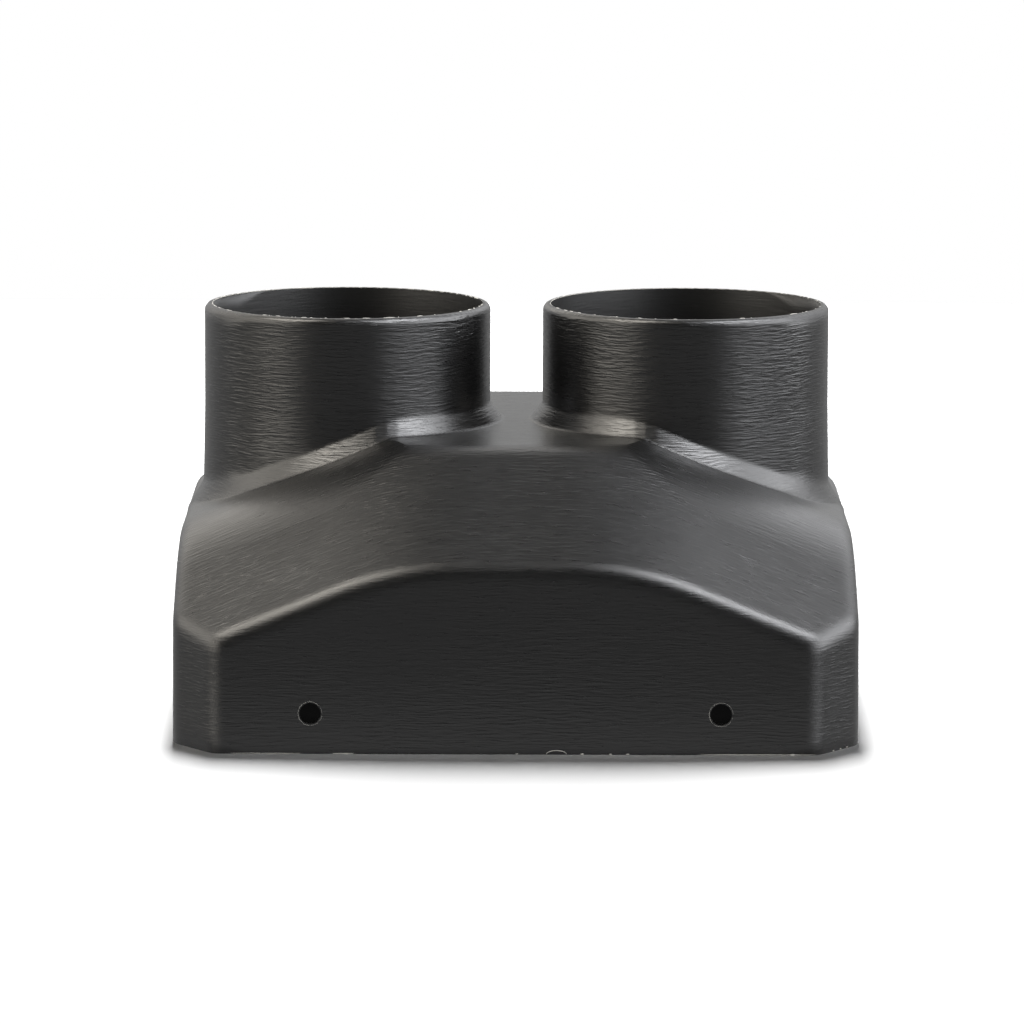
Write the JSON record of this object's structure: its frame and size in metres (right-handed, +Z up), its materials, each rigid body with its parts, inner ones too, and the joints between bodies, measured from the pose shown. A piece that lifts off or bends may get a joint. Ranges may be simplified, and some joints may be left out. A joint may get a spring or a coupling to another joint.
{
  "type": "twin duct air outlet",
  "caption": "Moulded black plastic air hood that carries warm air from an open rectangular base up into twin round duct spigots on a flat roof with sloping shoulders.",
  "frame": {"origin": "centre of the open base, on the plane of its bottom edge", "axes": "+Z up along the spigot axes, +X from one spigot to the other, -Y towards the wall seen in the picture"},
  "size_m": [0.1386, 0.16, 0.0816],
  "materials": {
    "black_plastic": "satin black moulded plastic with a fine wavy grain"
  },
  "bodies": {
    "root": {"duct_outlet": "black_plastic"}
  },
  "joints": []
}
